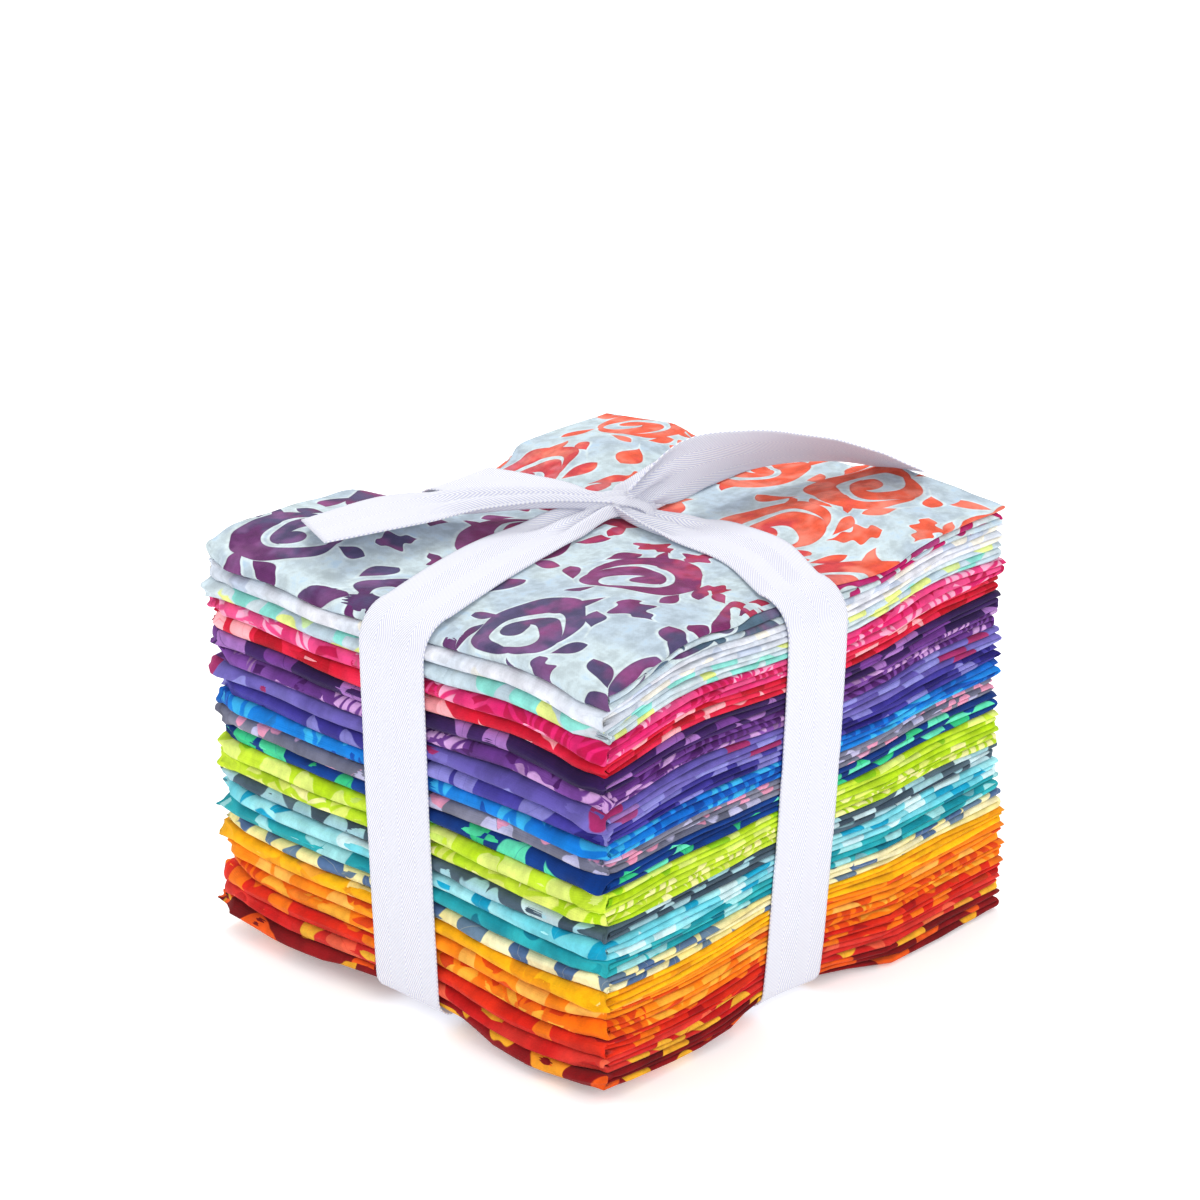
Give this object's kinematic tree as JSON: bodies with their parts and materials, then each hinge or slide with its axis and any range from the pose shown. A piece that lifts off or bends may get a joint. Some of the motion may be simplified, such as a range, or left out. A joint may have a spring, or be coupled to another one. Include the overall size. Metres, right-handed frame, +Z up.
{
  "type": "fat quarter bundle",
  "caption": "Stack of folded quilting cottons in rainbow order, tied crosswise with a flat twill ribbon that is knotted on top with its free ends spread over the cloth.",
  "frame": {"origin": "on the surface under the stack, below the middle of its plan, where the ribbon crosses under it", "axes": "+Z up; +Y from the side with the big round folds to the open side; +X along the side with the round folds, to the right when that side is seen square on"},
  "size_m": [0.1415, 0.1575, 0.1335],
  "materials": {
    "cotton_01": "matt plain-weave quilting cotton, mottled dye with a blotchy print",
    "cotton_02": "matt plain-weave quilting cotton, mottled dye with a blotchy print",
    "cotton_03": "matt plain-weave quilting cotton, mottled dye with a blotchy print",
    "cotton_04": "matt plain-weave quilting cotton, mottled dye with a blotchy print",
    "cotton_05": "matt plain-weave quilting cotton, mottled dye with a blotchy print",
    "cotton_06": "matt plain-weave quilting cotton, mottled dye with a blotchy print",
    "cotton_07": "matt plain-weave quilting cotton, mottled dye with a blotchy print",
    "cotton_08": "matt plain-weave quilting cotton, mottled dye with a blotchy print",
    "cotton_09": "matt plain-weave quilting cotton, mottled dye with a blotchy print",
    "cotton_10": "matt plain-weave quilting cotton, mottled dye with a blotchy print",
    "cotton_11": "matt plain-weave quilting cotton, mottled dye with a blotchy print",
    "cotton_12": "matt plain-weave quilting cotton, mottled dye with a blotchy print",
    "cotton_13": "matt plain-weave quilting cotton, mottled dye with a blotchy print",
    "cotton_14": "matt plain-weave quilting cotton, mottled dye with a blotchy print",
    "cotton_15": "matt plain-weave quilting cotton, mottled dye with a blotchy print",
    "cotton_16": "matt plain-weave quilting cotton, mottled dye with a blotchy print",
    "cotton_17": "matt plain-weave quilting cotton, mottled dye with a blotchy print",
    "cotton_18": "matt plain-weave quilting cotton, mottled dye with a blotchy print",
    "cotton_19": "matt plain-weave quilting cotton, mottled dye with a blotchy print",
    "cotton_20": "matt plain-weave quilting cotton, mottled dye with a blotchy print",
    "cotton_21": "matt plain-weave quilting cotton, mottled dye with a blotchy print",
    "cotton_22": "matt plain-weave quilting cotton, mottled dye with a blotchy print",
    "cotton_23": "matt plain-weave quilting cotton, mottled dye with a blotchy print",
    "cotton_24": "matt plain-weave quilting cotton, mottled dye with a blotchy print",
    "ribbon": "soft white herringbone twill tape, slightly sheer where it stands free"
  },
  "bodies": {
    "root": {"fat_quarter_01": "cotton_01", "fat_quarter_02": "cotton_02", "fat_quarter_03": "cotton_03", "fat_quarter_04": "cotton_04", "fat_quarter_05": "cotton_05", "fat_quarter_06": "cotton_06", "fat_quarter_07": "cotton_07", "fat_quarter_08": "cotton_08", "fat_quarter_09": "cotton_09", "fat_quarter_10": "cotton_10", "fat_quarter_11": "cotton_11", "fat_quarter_12": "cotton_12", "fat_quarter_13": "cotton_13", "fat_quarter_14": "cotton_14", "fat_quarter_15": "cotton_15", "fat_quarter_16": "cotton_16", "fat_quarter_17": "cotton_17", "fat_quarter_18": "cotton_18", "fat_quarter_19": "cotton_19", "fat_quarter_20": "cotton_20", "fat_quarter_21": "cotton_21", "fat_quarter_22": "cotton_22", "fat_quarter_23": "cotton_23", "fat_quarter_24": "cotton_24", "ribbon": "ribbon"}
  },
  "joints": []
}
